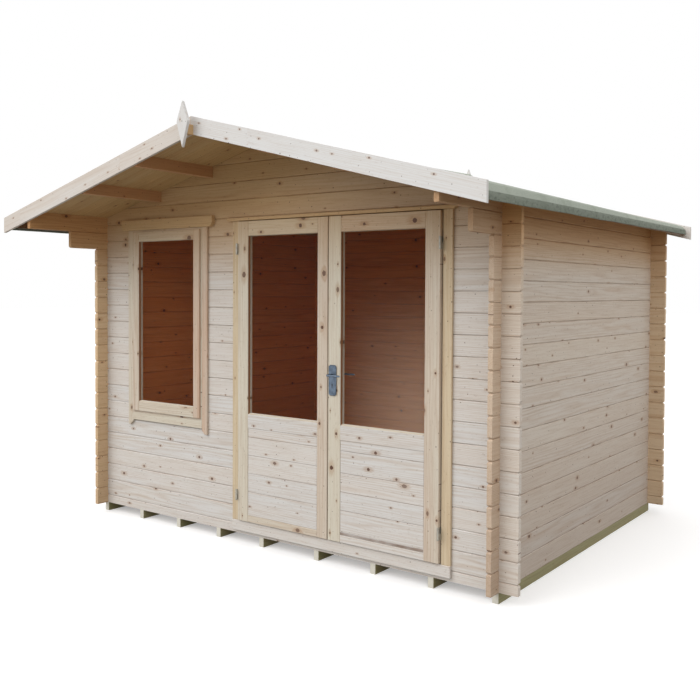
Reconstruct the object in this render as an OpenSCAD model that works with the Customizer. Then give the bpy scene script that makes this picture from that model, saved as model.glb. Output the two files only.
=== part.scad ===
// Log cabin: interlocking log walls on bearers, a shallow pitched roof with a
// deep front canopy, a fixed window and double doors that open outwards.
// Millimetres, +Z up, front towards -Y. The origin is under the middle of the
// cabin, at the level of the underside of the bearers.

/* [Walls] */
// Width of the cabin over the outer faces of the side walls
wall_w = 3200; // [2700:20:4000]
// Depth of the cabin over the outer faces of the front and back walls
wall_d = 2340; // [1900:20:3200]
// Height of one log course
log_h = 114; // [95:1:137]
// Thickness of the logs
log_t = 28; // [23:1:45]
// Length by which log ends run past the crossing at a corner
log_end = 108; // [80:1:150]
// Length by which the side walls' logs run past the front wall
front_end = 86; // [80:1:150]
// Depth of the V groove along each joint between logs
groove = 5; // [2:0.5:8]
// Depth of the notch between the ends of two logs
end_notch = 10; // [5:0.5:14]
// Height of the bearers under the walls
bearer_h = 60; // [38:1:80]
// Width of one bearer
bearer_w = 38; // [30:1:60]
// Thickness of the floorboards
floor_t = 19; // [15:1:28]

/* [Roof] */
// Pitch of the roof in degrees
pitch = 14.5; // [12:0.05:18]
// Overhang of the roof in front of the front wall
front_over = 624; // [300:10:900]
// Overhang of the roof behind the back wall
rear_over = 98; // [60:1:200]
// Distance from a side wall's outer face to the end of a bargeboard
side_over = 250; // [160:5:320]
// Distance from the end of a bargeboard back to the felt's eave edge
eave_back = 37; // [20:1:80]
// Thickness of the roof boards
board_t = 16; // [12:1:24]
// Thickness of the roofing felt
felt_t = 3; // [2:0.5:5]
// Length of the felt turned down over the eave
flap_h = 60; // [40:1:90]
// Thickness of the batten behind the turned down felt
batten_t = 18; // [12:1:30]
// Depth of a bargeboard measured square to its edge
barge_h = 97; // [80:1:140]
// Thickness of a bargeboard
barge_t = 18; // [12:1:25]
// Height of a bargeboard's upper edge over the soffit
barge_up = 38; // [28:1:60]
// Distance of the inner purlins from the middle
purlin_in = 510; // [350:5:650]
// Distance of the outer purlins from the middle
purlin_out = 1010; // [800:5:1150]
// Depth of a rear bargeboard measured square to its edge
rear_barge_h = 88; // [80:1:140]
// Height of a rear bargeboard's upper edge over the soffit
rear_barge_up = 31; // [28:1:60]
// Width of a purlin
purlin_w = 44; // [35:1:70]
// Height of a purlin
purlin_h = 64; // [50:1:110]
// Width of the diamond finial
finial_w = 90; // [50:1:120]
// Thickness of the finial
finial_t = 19; // [12:1:30]
// Depth of the block between the front bargeboards and their finial
block_t = 46; // [12:1:60]

/* [Doors] */
// Distance from the right side wall's outer face to the doorway's lining
door_side = 339; // [250:1:420]
// Width of the left leaf
left_leaf_w = 722; // [560:0.5:820]
// Width of the right leaf
right_leaf_w = 755; // [560:0.5:820]
// Thickness of the leaves
leaf_t = 40; // [32:1:50]
// Width of the left leaf's hinge stile
stile_w = 87; // [75:1:110]
// Height of the top rail of the leaves
top_rail_h = 91; // [70:1:120]
// Height of the bottom rail of the leaves
bottom_rail_h = 42; // [40:1:120]
// Height of the rail between the glass and the boards
mid_rail_h = 84; // [60:1:120]
// Height of the glass's lower edge over the leaf's lower edge
glass_up = 674; // [560:1:760]
// Clearance round a leaf
leaf_gap = 5; // [5:0.5:8]
// Gap between the two leaves
meeting_gap = 7; // [7:0.5:12]
// Width of the outer trims beside the doorway
trim_w = 59; // [40:1:80]
// Thickness of the trims on the wall's outer face
trim_t = 16; // [12:1:24]

/* [Window] */
// Width of the window sash
sash_w = 669.5; // [520:1:760]
// Width of the members of the sash
sash_bar = 61; // [45:1:80]
// Height of the sash's lower edge over the underside of the walls
sash_up = 698; // [560:1:820]
// Thickness of the glass
glass_t = 4; // [3:1:6]

/* [Handle] */
// Height of the lever's axis over the leaf's lower edge
lever_up = 963; // [800:1:1100]
// Length of the lever from its axis to its tip
lever_len = 96; // [80:1:120]
// Radius of the lever's neck
neck_r = 8; // [6:0.5:10]
// Radius of the hinge knuckles
knuckle_r = 6.5; // [5:0.25:7]
// Radius of the hinge pins
pin_r = 3; // [2:0.25:4]
// Radial running clearance of pins and necks
run_gap = 0.05; // [0.02:0.01:0.08]

/* [Hidden] */

eps = 1;
// clearance between the roof's sloping layers, and between them and the walls
slack = 0.05;
courses = 18;
half_w = wall_w / 2;
inner_w = half_w - log_t;
wall_h = courses * log_h;
slope = tan(pitch);
apex = wall_h + slope * inner_w;
x_log = half_w + log_end;
x_barge = half_w + side_over;
x_eave = x_barge - eave_back;
y_barge = -front_over + barge_t;
y_rear = wall_d + rear_over - barge_t;
board_v = board_t / cos(pitch);
felt_v = felt_t / cos(pitch);
barge_v = barge_h / cos(pitch);
rear_barge_v = rear_barge_h / cos(pitch);
// the front wall's outer face, with the whole length centred on the origin
front_run = front_over + block_t + finial_t;
rear_run = rear_over + finial_t;
front_y = front_run - (wall_d + front_run + rear_run) / 2;

// doorway: the leaves are set out from the right side wall
meet_x = half_w - door_side - leaf_gap - right_leaf_w - meeting_gap / 2;
left_x0 = meet_x - meeting_gap / 2 - left_leaf_w;
left_x1 = meet_x - meeting_gap / 2;
right_x0 = meet_x + meeting_gap / 2;
right_x1 = right_x0 + right_leaf_w;
jamb_x0 = left_x0 - leaf_gap;
jamb_x1 = right_x1 + leaf_gap;
lining_t = 30;
open_x0 = jamb_x0 - lining_t;
open_x1 = jamb_x1 + lining_t;
sill_z0 = 20;
sill_z1 = log_h * 0.75;
leaf_z0 = sill_z1 + 5.5;
head_z1 = 17.5 * log_h;
head_h = 24;
head_z0 = head_z1 - head_h;
leaf_z1 = head_z0 - leaf_gap;
leaf_front = -trim_t - 18;
leaf_back = leaf_front + leaf_t;
stop_y = leaf_back + leaf_gap;
stop_w = 15;
lining_y = stop_y + 33;
leaf_glass_z0 = leaf_z0 + glass_up;
leaf_glass_z1 = leaf_z1 - top_rail_h;
panel_z1 = leaf_glass_z0 - mid_rail_h;
panel_z0 = leaf_z0 + bottom_rail_h;
panel_t = 20;
rebate = 8;
// left and right stile of each leaf; the right leaf's stiles are wider
left_stiles = [stile_w, stile_w - 11];
right_stiles = [stile_w + 3, stile_w + 7];

// window, centred in the wall left of the doorway
win_x = (-inner_w + jamb_x0 - trim_w) / 2 + 11.2;
sash_x0 = win_x - sash_w / 2;
sash_x1 = win_x + sash_w / 2;
sash_z0 = sash_up;
sash_z1 = head_z0 - 37;
sash_front = -trim_t - 14;
sash_back = sash_front + 38;
frame_w = 12;
win_open_x0 = sash_x0 - frame_w;
win_open_x1 = sash_x1 + frame_w;
win_open_z0 = sash_z0 - frame_w;
win_open_z1 = head_z0 - 23;
win_trim_x0 = sash_x0 - 63;
win_trim_x1 = sash_x1 + 60;
win_trim_z0 = sash_z0 - 67;
win_foot_z = win_trim_z0 - 37;

// hinges
hinge_h = 66;
hinge_lo = leaf_z0 + 129;
hinge_hi = leaf_z1 - 204;
axis_y = leaf_front - 8;
axis_left = left_x0 - leaf_gap / 2;
axis_right = right_x1 + leaf_gap / 2;
flange_t = 2;
flange_y = 30;

// handle
lever_z = leaf_z0 + lever_up;
lever_x = right_x0 + 0.4 * right_stiles[0];
plate_w = 55;
plate_t = 8;
plate_z0 = lever_z - 120;
plate_z1 = lever_z + 57;
spindle_r = 5;

// shapes are drawn from the front wall's outer face and the walls' underside
module placed()
{
  translate([0, front_y, bearer_h])
    children();
}

module along_y(y0, y1)
{
  translate([0, y1, 0])
    rotate([90, 0, 0])
      linear_extrude(y1 - y0)
        children();
}

module along_x(x0, x1)
{
  translate([x0, 0, 0])
    rotate([90, 0, 90])
      linear_extrude(x1 - x0)
        children();
}

module box(x0, x1, y0, y1, z0, z1)
{
  translate([x0, y0, z0])
    cube([x1 - x0, y1 - y0, z1 - z0]);
}

module rect(a0, a1, b0, b1)
{
  translate([a0, b0])
    square([a1 - a0, b1 - b0]);
}

module notch(a, b, deep = groove)
{
  translate([a, b])
    rotate(45)
      square(deep * sqrt(2), center = true);
}

function soffit(x) = apex - slope * abs(x);

// ---- log walls ----

// reach of the second log from the top in front of the front wall
log_run = 297;

// section of a right hand side wall, with its top bevelled to the soffit
module side_section()
{
  difference()
  {
    polygon([
      [inner_w, 0],
      [half_w, 0],
      [half_w, soffit(half_w) - slack],
      [inner_w, soffit(inner_w) - slack]
    ]);
    for (j = [1:courses - 1])
    {
      notch(inner_w, j * log_h);
      notch(half_w, j * log_h);
    }
  }
}

// side view of a side wall: the two top logs run forward under the canopy
module side_view()
{
  z_two = (courses - 2) * log_h;
  z_top = (courses - 1) * log_h;
  difference()
  {
    union()
    {
      rect(-front_end, wall_d + log_end, 0, z_top);
      rect(-log_run, 0, z_two, z_top);
      rect(y_barge, y_rear, z_top, wall_h + eps);
    }
    for (j = [1:courses - 2])
      notch(-front_end, j * log_h, end_notch);
    for (j = [1:courses - 1])
      notch(wall_d + log_end, j * log_h, end_notch);
    difference()
    {
      rect(-log_run - eps, -log_run + 15, z_two - eps, z_two + 15);
      translate([-log_run + 15, z_two + 15])
        circle(r = 15, $fn = 48);
    }
  }
}

module side_wall()
{
  difference()
  {
    intersection()
    {
      along_y(y_barge - eps, wall_d + log_end + eps)
        side_section();
      along_x(inner_w - eps, half_w + eps)
        side_view();
    }
    for (j = [0:courses])
    {
      z0 = (j - 0.25) * log_h;
      z1 = (j + 0.25) * log_h;
      box(inner_w - eps, half_w + eps, 0, log_t, z0, z1);
      box(inner_w - eps, half_w + eps, wall_d - log_t, wall_d, z0, z1);
    }
  }
}

// up is what the section's top stands over the soffit
module purlin_section(x, up)
{
  x0 = x - purlin_w / 2;
  x1 = x + purlin_w / 2;
  z0 = soffit(x) - purlin_h;
  polygon([
    [x0, z0],
    [x1, z0],
    [x1, soffit(x1) + up],
    [x0, soffit(x0) + up]
  ]);
}

purlin_x = [purlin_in, purlin_out];
end_rows = floor((apex / log_h) + 0.5);

// section of an end wall whose outer face is at y = 0
module end_section()
{
  difference()
  {
    rect(0, log_t, 0, apex + eps);
    for (j = [0:end_rows])
    {
      notch(0, (j + 0.5) * log_h);
      notch(log_t, (j + 0.5) * log_h);
    }
  }
}

module end_outline()
{
  difference()
  {
    polygon([
      [-x_log, 0],
      [x_log, 0],
      [x_log, soffit(x_log) - slack],
      [0, apex - slack],
      [-x_log, soffit(x_log) - slack]
    ]);
    for (j = [0:courses - 1])
      for (x = [-x_log, x_log])
        notch(x, (j + 0.5) * log_h, end_notch);
    for (x = purlin_x)
    {
      purlin_section(x, eps);
      mirror([1, 0])
        purlin_section(x, eps);
    }
  }
}

module end_wall()
{
  difference()
  {
    intersection()
    {
      along_x(-x_log - eps, x_log + eps)
        end_section();
      along_y(-eps, log_t + eps)
        end_outline();
    }
    for (j = [0:courses - 1])
      for (s = [-half_w, inner_w])
        box(s, s + log_t, -eps, log_t + eps,
            (j + 0.25) * log_h, (j + 0.75) * log_h);
  }
}

module left_wall()
{
  color("wheat")
    placed()
      mirror([1, 0, 0])
        side_wall();
}

module right_wall()
{
  color("wheat")
    placed()
      side_wall();
}

module back_wall()
{
  color("wheat")
    placed()
      translate([0, wall_d - log_t, 0])
        end_wall();
}

module front_sill_log()
{
  color("wheat")
    placed()
      intersection()
      {
        end_wall();
        box(-x_log - eps, x_log + eps, -eps, log_t + eps, -eps, log_h / 2);
      }
}

module front_wall_left()
{
  color("wheat")
    placed()
      difference()
      {
        intersection()
        {
          end_wall();
          box(-x_log - eps, open_x0, -eps, log_t + eps, log_h / 2, head_z1);
        }
        box(win_open_x0, win_open_x1, -eps, log_t + eps,
            win_open_z0, win_open_z1);
      }
}

module front_wall_right()
{
  color("wheat")
    placed()
      intersection()
      {
        end_wall();
        box(open_x1, x_log + eps, -eps, log_t + eps, log_h / 2, head_z1);
      }
}

module front_gable()
{
  color("wheat")
    placed()
      intersection()
      {
        end_wall();
        box(-x_log - eps, x_log + eps, -eps, log_t + eps,
            head_z1, apex + eps);
      }
}

// ---- base ----

// middles of the bearers, as parts of the way from the centre to the last one
bearer_at = [-1, -0.757, -0.517, -0.275, -0.035, 0.245, 0.508, 0.752, 1];

module bearers()
{
  color("olivedrab")
    placed()
      for (a = bearer_at)
        translate([a * (half_w - bearer_w / 2) - bearer_w / 2, 0, -bearer_h])
          cube([bearer_w, wall_d, bearer_h]);
}

module floor()
{
  color("burlywood")
    placed()
      box(-inner_w, inner_w, log_t, wall_d - log_t, 0, floor_t);
}

// ---- roof ----

module purlins()
{
  along_y(y_barge, y_rear)
    for (x = purlin_x)
      purlin_section(x, -slack);
}

module purlins_right()
{
  color("tan")
    placed()
      purlins();
}

module purlins_left()
{
  color("tan")
    placed()
      mirror([1, 0, 0])
        purlins();
}

x_batten = x_eave - felt_t - batten_t;
x_face = x_eave - felt_t;
// the felt bends down over the eave in two steps
fold_a = 22;
fold_b = 7;

module roof_boards()
{
  along_y(y_barge, y_rear)
    polygon([
      [0, apex],
      [x_batten, soffit(x_batten)],
      [x_batten, soffit(x_batten) + board_v],
      [0, apex + board_v]
    ]);
}

module roof_boards_right()
{
  color("tan")
    placed()
      roof_boards();
}

module roof_boards_left()
{
  color("tan")
    placed()
      mirror([1, 0, 0])
        roof_boards();
}

function deck(x) = soffit(x) + board_v;

module eave_batten()
{
  along_y(y_barge, y_rear)
    polygon([
      [x_batten, deck(x_eave) + felt_v - flap_h + 3],
      [x_face, deck(x_eave) + felt_v - flap_h + 3],
      [x_face, deck(x_face) - fold_a],
      [x_face - fold_b, deck(x_face) - fold_b],
      [x_batten, deck(x_batten) - slack]
    ]);
}

module eave_batten_right()
{
  color("tan")
    placed()
      eave_batten();
}

module eave_batten_left()
{
  color("tan")
    placed()
      mirror([1, 0, 0])
        eave_batten();
}

module roof_felt()
{
  along_y(y_barge, y_rear)
    polygon([
      [0, deck(0) + slack],
      [x_batten, deck(x_batten) + slack],
      [x_face - fold_b, deck(x_face) - fold_b + slack],
      [x_face, deck(x_face) - fold_a],
      [x_face, deck(x_eave) + felt_v - flap_h],
      [x_eave, deck(x_eave) + felt_v - flap_h],
      [x_eave, deck(x_eave) + felt_v - fold_a],
      [x_eave - fold_b, deck(x_eave) + felt_v - fold_b],
      [x_eave - fold_a, deck(x_eave - fold_a) + felt_v],
      [0, deck(0) + felt_v]
    ]);
}

module roof_felt_right()
{
  color("darkslategray")
    placed()
      roof_felt();
}

module roof_felt_left()
{
  color("darkslategray")
    placed()
      mirror([1, 0, 0])
        roof_felt();
}

module bargeboard(up, deep)
{
  polygon([
    [0, apex + up],
    [x_barge, soffit(x_barge) + up],
    [x_barge, soffit(x_barge) + up - deep],
    [0, apex + up - deep]
  ]);
}

module bargeboard_front_right()
{
  color("ivory")
    placed()
      along_y(-front_over, y_barge)
        bargeboard(barge_up, barge_v);
}

module bargeboard_front_left()
{
  color("ivory")
    placed()
      along_y(-front_over, y_barge)
        mirror([1, 0])
          bargeboard(barge_up, barge_v);
}

module bargeboard_rear_right()
{
  color("ivory")
    placed()
      along_y(y_rear, y_rear + barge_t)
        bargeboard(rear_barge_up, rear_barge_v);
}

module bargeboard_rear_left()
{
  color("ivory")
    placed()
      along_y(y_rear, y_rear + barge_t)
        mirror([1, 0])
          bargeboard(rear_barge_up, rear_barge_v);
}

module finial()
{
  z = apex + barge_up - 38;
  polygon([
    [0, z + 110],
    [finial_w / 2, z],
    [0, z - 142],
    [-finial_w / 2, z]
  ]);
}

// block over the joint of the front bargeboards, which carries the finial
module finial_block()
{
  z = apex + barge_up;
  rect(-20, 20, z - 106, z - 52);
}

module finial_front()
{
  color("ivory")
    placed()
      union()
      {
        along_y(-front_over - block_t - finial_t, -front_over - block_t)
          finial();
        along_y(-front_over - block_t, -front_over)
          finial_block();
      }
}

module finial_rear()
{
  color("ivory")
    placed()
      along_y(y_rear + barge_t, y_rear + barge_t + finial_t)
        finial();
}

// ---- doorway ----

module door_sill()
{
  color("burlywood")
    placed()
      union()
      {
        box(jamb_x0 - trim_w, jamb_x1 + trim_w, -trim_t - 4, 0,
            sill_z0, sill_z1);
        box(open_x0, open_x1, 0, lining_y, log_h / 2, sill_z1);
      }
}

// plan of a jamb on the left: trim, lining and stop
module jamb_plan()
{
  polygon([
    [jamb_x0 - trim_w, -trim_t],
    [jamb_x0, -trim_t],
    [jamb_x0, stop_y],
    [jamb_x0 + stop_w, stop_y],
    [jamb_x0 + stop_w, lining_y],
    [open_x0, lining_y],
    [open_x0, 0],
    [jamb_x0 - trim_w, 0]
  ]);
}

module flange_room(x0, y0)
{
  for (z = [hinge_lo, hinge_hi])
    box(x0, x0 + flange_t, y0, y0 + flange_y, z, z + hinge_h);
}

module door_jamb_left()
{
  color("burlywood")
    placed()
      difference()
      {
        translate([0, 0, sill_z1])
          linear_extrude(head_z0 - sill_z1)
            jamb_plan();
        flange_room(jamb_x0 - flange_t, -trim_t);
      }
}

module door_jamb_right()
{
  color("burlywood")
    placed()
      difference()
      {
        translate([jamb_x1 + jamb_x0, 0, sill_z1])
          mirror([1, 0, 0])
            linear_extrude(head_z0 - sill_z1)
              jamb_plan();
        flange_room(jamb_x1, -trim_t);
      }
}

module door_head()
{
  color("burlywood")
    placed()
      union()
      {
        box(open_x0, open_x1, 0, lining_y, head_z0, head_z1);
        box(jamb_x0 + stop_w, jamb_x1 - stop_w, stop_y, lining_y,
            head_z0 - stop_w, head_z0);
      }
}

module drip_board(x0, x1, z0, z1, c)
{
  polygon([
    [x0, z1],
    [x0, z0 + c],
    [x0 + c, z0],
    [x1 - c, z0],
    [x1, z0 + c],
    [x1, z1]
  ]);
}

module door_head_board()
{
  color("burlywood")
    placed()
      along_y(leaf_front + 4, 0)
        drip_board(jamb_x0 - trim_w - 47, jamb_x1 + trim_w + 27,
                   head_z0, head_z1 - groove, 12);
}

// ---- window ----

module window_frame()
{
  color("burlywood")
    placed()
      difference()
      {
        box(win_open_x0, win_open_x1, -trim_t, lining_y,
            win_open_z0, win_open_z1);
        box(sash_x0, sash_x1, -trim_t - eps, lining_y + eps,
            sash_z0, sash_z1);
      }
}

module window_trim()
{
  foot = win_trim_z0 - win_foot_z;
  color("burlywood")
    placed()
      along_y(-trim_t, 0)
        polygon([
          [win_trim_x0, win_open_z1],
          [win_trim_x0, win_foot_z],
          [win_trim_x0 + 22, win_foot_z],
          [win_trim_x0 + 22 + foot, win_trim_z0],
          [win_trim_x1 - 22 - foot, win_trim_z0],
          [win_trim_x1 - 22, win_foot_z],
          [win_trim_x1, win_foot_z],
          [win_trim_x1, win_open_z1],
          [win_open_x1, win_open_z1],
          [win_open_x1, win_open_z0],
          [win_open_x0, win_open_z0],
          [win_open_x0, win_open_z1]
        ]);
}

module window_head_board()
{
  color("burlywood")
    placed()
      along_y(sash_front, 0)
        drip_board(win_trim_x0 - 57, win_trim_x1 + 57,
                   win_open_z1, win_open_z1 + 70, 20);
}

// a framed leaf or sash: opening, pane grooved into it by the rebate
module pane(x0, x1, y, z0, z1)
{
  box(x0 - rebate, x1 + rebate, y, y + glass_t,
      z0 - rebate, z1 + rebate);
}

sash_glass_x0 = sash_x0 + sash_bar + 4;
sash_glass_x1 = sash_x1 - sash_bar + 4;
sash_glass_z0 = sash_z0 + sash_bar + 4;
sash_glass_z1 = sash_z1 - sash_bar - 4;
sash_glass_y = sash_front + 17;

module window_sash()
{
  color("burlywood")
    placed()
      difference()
      {
        box(sash_x0, sash_x1, sash_front, sash_back, sash_z0, sash_z1);
        box(sash_glass_x0, sash_glass_x1, sash_front - eps, sash_back + eps,
            sash_glass_z0, sash_glass_z1);
        pane(sash_glass_x0, sash_glass_x1, sash_glass_y,
             sash_glass_z0, sash_glass_z1);
      }
}

module window_glass()
{
  color("lightblue", 0.4)
    placed()
      pane(sash_glass_x0, sash_glass_x1, sash_glass_y,
           sash_glass_z0, sash_glass_z1);
}

// ---- leaves ----

leaf_glass_y = leaf_front + 17;
panel_y = leaf_front + 2.5;

// w holds the widths of the left and right stile
module leaf_frame(x0, x1, w, edge_x)
{
  difference()
  {
    box(x0, x1, leaf_front, leaf_back, leaf_z0, leaf_z1);
    box(x0 + w[0], x1 - w[1], leaf_front - eps, leaf_back + eps,
        leaf_glass_z0, leaf_glass_z1);
    box(x0 + w[0], x1 - w[1], leaf_front - eps, leaf_back + eps,
        panel_z0, panel_z1);
    pane(x0 + w[0], x1 - w[1], leaf_glass_y, leaf_glass_z0, leaf_glass_z1);
    flange_room(edge_x, leaf_front);
  }
}

module left_leaf_frame()
{
  color("burlywood")
    placed()
      leaf_frame(left_x0, left_x1, left_stiles, left_x0);
}

module right_leaf_frame()
{
  color("burlywood")
    placed()
      difference()
      {
        leaf_frame(right_x0, right_x1, right_stiles, right_x1 - flange_t);
        translate([lever_x, leaf_back + eps, lever_z])
          rotate([90, 0, 0])
            cylinder(h = leaf_t + 2 * eps, r = spindle_r + leaf_gap,
                     $fn = 48);
      }
}

module left_leaf_panel()
{
  color("burlywood")
    placed()
      box(left_x0 + left_stiles[0], left_x1 - left_stiles[1],
          panel_y, panel_y + panel_t, panel_z0, panel_z1);
}

module right_leaf_panel()
{
  color("burlywood")
    placed()
      box(right_x0 + right_stiles[0], right_x1 - right_stiles[1],
          panel_y, panel_y + panel_t, panel_z0, panel_z1);
}

module left_leaf_glass()
{
  color("lightblue", 0.4)
    placed()
      pane(left_x0 + left_stiles[0], left_x1 - left_stiles[1],
           leaf_glass_y, leaf_glass_z0, leaf_glass_z1);
}

module right_leaf_glass()
{
  color("lightblue", 0.4)
    placed()
      pane(right_x0 + right_stiles[0], right_x1 - right_stiles[1],
           leaf_glass_y, leaf_glass_z0, leaf_glass_z1);
}

// ---- hinges: the jamb half carries the lower knuckle and the pin ----

knuckle_gap = 0.4;
knuckle_h = (hinge_h - knuckle_gap) / 2;

module jamb_hinge(axis_x, x0)
{
  for (z = [hinge_lo, hinge_hi])
    union()
    {
      box(x0, x0 + flange_t, -trim_t, -trim_t + flange_y, z, z + hinge_h);
      box(x0, x0 + flange_t, axis_y, -trim_t, z, z + knuckle_h);
      translate([axis_x, axis_y, z])
        cylinder(h = knuckle_h, r = knuckle_r, $fn = 48);
      translate([axis_x, axis_y, z])
        cylinder(h = hinge_h - 3, r = pin_r, $fn = 48);
    }
}

module leaf_hinge(axis_x, x0)
{
  for (z = [hinge_lo, hinge_hi])
    difference()
    {
      union()
      {
        box(x0, x0 + flange_t, leaf_front, leaf_front + flange_y,
            z, z + hinge_h);
        box(x0, x0 + flange_t, axis_y, leaf_front,
            z + hinge_h - knuckle_h, z + hinge_h);
        translate([axis_x, axis_y, z + hinge_h - knuckle_h])
          cylinder(h = knuckle_h, r = knuckle_r, $fn = 48);
      }
      translate([axis_x, axis_y, z + hinge_h - knuckle_h - eps])
        cylinder(h = knuckle_h + 2 * eps, r = pin_r + run_gap, $fn = 48);
    }
}

module left_jamb_hinges()
{
  color("silver")
    placed()
      jamb_hinge(axis_left, jamb_x0 - flange_t);
}

module left_leaf_hinges()
{
  color("silver")
    placed()
      leaf_hinge(axis_left, left_x0);
}

module right_jamb_hinges()
{
  color("silver")
    placed()
      jamb_hinge(axis_right, jamb_x1);
}

module right_leaf_hinges()
{
  color("silver")
    placed()
      leaf_hinge(axis_right, right_x1 - flange_t);
}

// ---- handle ----

module handle_plate(y0)
{
  difference()
  {
    along_y(y0, y0 + plate_t)
      polygon([
        [lever_x - plate_w / 2, plate_z0 + 10],
        [lever_x - plate_w / 2 + 10, plate_z0],
        [lever_x + plate_w / 2 - 10, plate_z0],
        [lever_x + plate_w / 2, plate_z0 + 10],
        [lever_x + plate_w / 2, plate_z1 - 10],
        [lever_x + plate_w / 2 - 10, plate_z1],
        [lever_x - plate_w / 2 + 10, plate_z1],
        [lever_x - plate_w / 2, plate_z1 - 10]
      ]);
    translate([lever_x, y0 + plate_t + eps, lever_z])
      rotate([90, 0, 0])
        cylinder(h = plate_t + 2 * eps, r = neck_r + run_gap, $fn = 48);
  }
}

module handle_plates()
{
  color("slategray")
    placed()
      union()
      {
        handle_plate(leaf_front - plate_t);
        handle_plate(leaf_back);
      }
}

module rod_y(r, y0, y1)
{
  translate([lever_x, y1, lever_z])
    rotate([90, 0, 0])
      cylinder(h = y1 - y0, r = r, $fn = 48);
}

neck_out = 56;
neck_in = 40;
arm_t = 12;
arm_h = 10;

module door_lever()
{
  y_out = leaf_front - plate_t - neck_out;
  y_in = leaf_back + plate_t + neck_in;
  color("slategray")
    placed()
      union()
      {
        rod_y(neck_r, y_out, leaf_front - 1);
        rod_y(spindle_r, leaf_front - 2, leaf_back + 2);
        rod_y(neck_r, leaf_back + 1, y_in);
        box(lever_x, lever_x + lever_len, y_out, y_out + arm_t,
            lever_z - arm_h / 2, lever_z + arm_h / 2);
        box(lever_x, lever_x + lever_len, y_in - arm_t, y_in,
            lever_z - arm_h / 2, lever_z + arm_h / 2);
      }
}

bearers();
floor();
left_wall();
right_wall();
back_wall();
front_sill_log();
front_wall_left();
front_wall_right();
front_gable();
purlins_left();
purlins_right();
roof_boards_left();
roof_boards_right();
eave_batten_left();
eave_batten_right();
roof_felt_left();
roof_felt_right();
bargeboard_front_left();
bargeboard_front_right();
bargeboard_rear_left();
bargeboard_rear_right();
finial_front();
finial_rear();
door_sill();
door_jamb_left();
door_jamb_right();
door_head();
door_head_board();
window_trim();
window_frame();
window_head_board();
window_sash();
window_glass();
left_leaf_frame();
left_leaf_panel();
left_leaf_glass();
right_leaf_frame();
right_leaf_panel();
right_leaf_glass();
left_jamb_hinges();
left_leaf_hinges();
right_jamb_hinges();
right_leaf_hinges();
handle_plates();
door_lever();
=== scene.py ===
# %% [markdown]
# # Dressing a log cabin
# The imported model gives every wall, roof slope, door and hinge its place and
# size. This lesson gives them their looks. Parts that are made of several
# boards are built again board by board, inside the space that the model keeps
# for them.

import math

import bpy
import numpy as np
from mathutils import Matrix, Vector


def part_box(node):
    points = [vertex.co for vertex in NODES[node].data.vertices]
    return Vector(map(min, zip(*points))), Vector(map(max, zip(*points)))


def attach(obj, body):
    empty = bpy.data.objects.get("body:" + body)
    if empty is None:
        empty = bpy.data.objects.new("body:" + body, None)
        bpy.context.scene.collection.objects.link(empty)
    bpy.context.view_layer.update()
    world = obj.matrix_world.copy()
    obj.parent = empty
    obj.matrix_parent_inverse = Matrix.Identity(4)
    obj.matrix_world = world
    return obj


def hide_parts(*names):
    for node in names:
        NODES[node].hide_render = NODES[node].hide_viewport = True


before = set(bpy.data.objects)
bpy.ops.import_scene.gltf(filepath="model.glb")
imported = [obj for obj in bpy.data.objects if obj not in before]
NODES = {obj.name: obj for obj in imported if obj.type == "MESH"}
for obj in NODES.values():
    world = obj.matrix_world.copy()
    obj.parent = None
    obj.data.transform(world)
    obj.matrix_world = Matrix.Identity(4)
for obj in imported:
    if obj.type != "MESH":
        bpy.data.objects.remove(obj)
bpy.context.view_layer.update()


def mesh_of(name, points, faces, sharp=None):
    """A mesh. With sharp, all edges that turn by fewer degrees are smooth."""
    mesh = bpy.data.meshes.new(name)
    mesh.from_pydata(points, [], faces)
    if sharp:
        mesh.polygons.foreach_set("use_smooth", np.ones(len(faces), bool))
        mesh.set_sharp_from_angle(angle=math.radians(sharp))
    return mesh


def put(name, data):
    """Places data in the scene as a new object."""
    made = bpy.data.objects.new(name, data)
    bpy.context.scene.collection.objects.link(made)
    return made


def box(node):
    """Lowest and highest corner of a node as two numpy arrays, in metres."""
    low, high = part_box(node)
    return np.array(low), np.array(high)


# %% [markdown]
# ## The measures that everything shares
# A log course is the unit of a log cabin. The sill log is half a log high,
# so one course is twice its height. The courses of the side walls start half
# a log lower than those of the front and back, which is how the corners lock.

# %% Measures
WALL_Z = box("front_sill_log")[0][2]
LOG = 2 * (box("front_sill_log")[1][2] - WALL_Z)
FRONT = box("front_wall_left")[0][1]
BACK = box("back_wall")[1][1]
LOG_THICK = box("front_wall_left")[1][1] - FRONT
HALF_W = box("right_wall")[1][0]
PITCH = math.radians(14.5)
COS, SIN = math.cos(PITCH), math.sin(PITCH)
(_, ROOF_FRONT, _), (EAVE, ROOF_BACK, RIDGE) = box("roof_boards_right")
FELT_EDGE = box("roof_felt_right")[1][0]
print(f"course {LOG:.4f} m, logs {LOG_THICK:.3f} m thick, front face y {FRONT:.3f}")

# %% [markdown]
# ## Camera
# The cabin is looked at from its front right corner at eye height, with a
# slightly long lens. The picture is part of a larger view, so the lens is
# shifted a little, which keeps the uprights upright.

# %% Camera
EYE = np.array([3.622416, -4.75362, 1.596132])
YAW, TILT, ROLL = 0.614726, -0.025561, 0.005925
# The focal length and the two shifts as shares of the picture's width.
FOCAL, SHIFT_X, SHIFT_Y = np.array([854.907, -36.877, -36.793]) / 700

level = np.array([math.cos(YAW), math.sin(YAW), 0.0])
forward = np.array([-math.sin(YAW), math.cos(YAW), 0.0])
ahead = forward * math.cos(TILT) + [0.0, 0.0, math.sin(TILT)]
above = np.cross(level, ahead)
right = math.cos(ROLL) * level + math.sin(ROLL) * above
up = -math.sin(ROLL) * level + math.cos(ROLL) * above

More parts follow.
